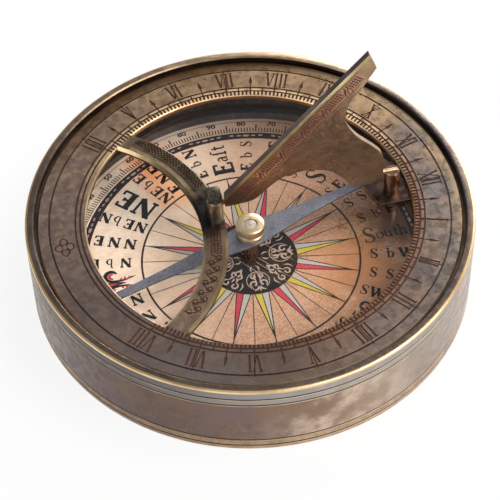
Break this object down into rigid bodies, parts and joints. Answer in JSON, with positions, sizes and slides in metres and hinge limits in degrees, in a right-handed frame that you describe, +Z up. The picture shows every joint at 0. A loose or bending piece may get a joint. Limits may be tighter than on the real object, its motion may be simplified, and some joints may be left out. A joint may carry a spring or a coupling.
{
  "type": "sundial compass",
  "caption": "Round brass pocket sundial: a dry compass under glass, an engraved hour ring and a gnomon plate that folds flat to either side on two posts.",
  "frame": {"origin": "middle of the underside of the case", "axes": "+Z up, out of the glass; +X along the noon line towards XII; +Y towards the card's East; the gnomon's plate stands in the XZ plane"},
  "size_m": [0.09, 0.09, 0.0565],
  "materials": {
    "case_brass": "aged dark brass, worn golden on the rim",
    "ring_brass": "aged brown-grey brass with dark engraving",
    "lining_brass": "blackened, matt",
    "post_brass": "aged brass, half polished",
    "gnomon_brass": "golden-brown aged brass with bright bevels",
    "cap_brass": "polished light brass",
    "blued_steel": "blue-grey oxide",
    "pin_steel": "polished",
    "card_paper": "printed matt paper",
    "board": "plain board",
    "window_glass": "clear",
    "jewel_glass": "cloudy polished stone"
  },
  "bodies": {
    "case": {"case_wall": "case_brass", "base_plate": "case_brass", "pivot_screw": "post_brass", "card_backing": "board", "compass_card": "card_paper", "card_ring": "lining_brass", "lining_tube": "lining_brass", "pivot_column": "post_brass", "pivot_pin": "pin_steel", "glass": "window_glass", "glass_ring": "lining_brass", "chapter_ring": "ring_brass", "noon_bracket": "ring_brass", "bracket_rivets": "post_brass", "bow_post": "post_brass", "noon_post": "post_brass"},
    "gnomon": {"gnomon": "gnomon_brass"},
    "needle": {"needle": "blued_steel", "needle_cap": "cap_brass", "needle_jewel": "jewel_glass"}
  },
  "joints": [
    {"name": "gnomon_fold", "type": "hinge", "parent": "case", "child": "gnomon", "pos_m": [0, 0, 0.0223], "axis": [1, 0, 0], "range_deg": [-95, 95]},
    {"name": "needle_turn", "type": "hinge", "parent": "case", "child": "needle", "pos_m": [0, 0, 0.0128], "axis": [0, 0, 1], "continuous": true}
  ]
}
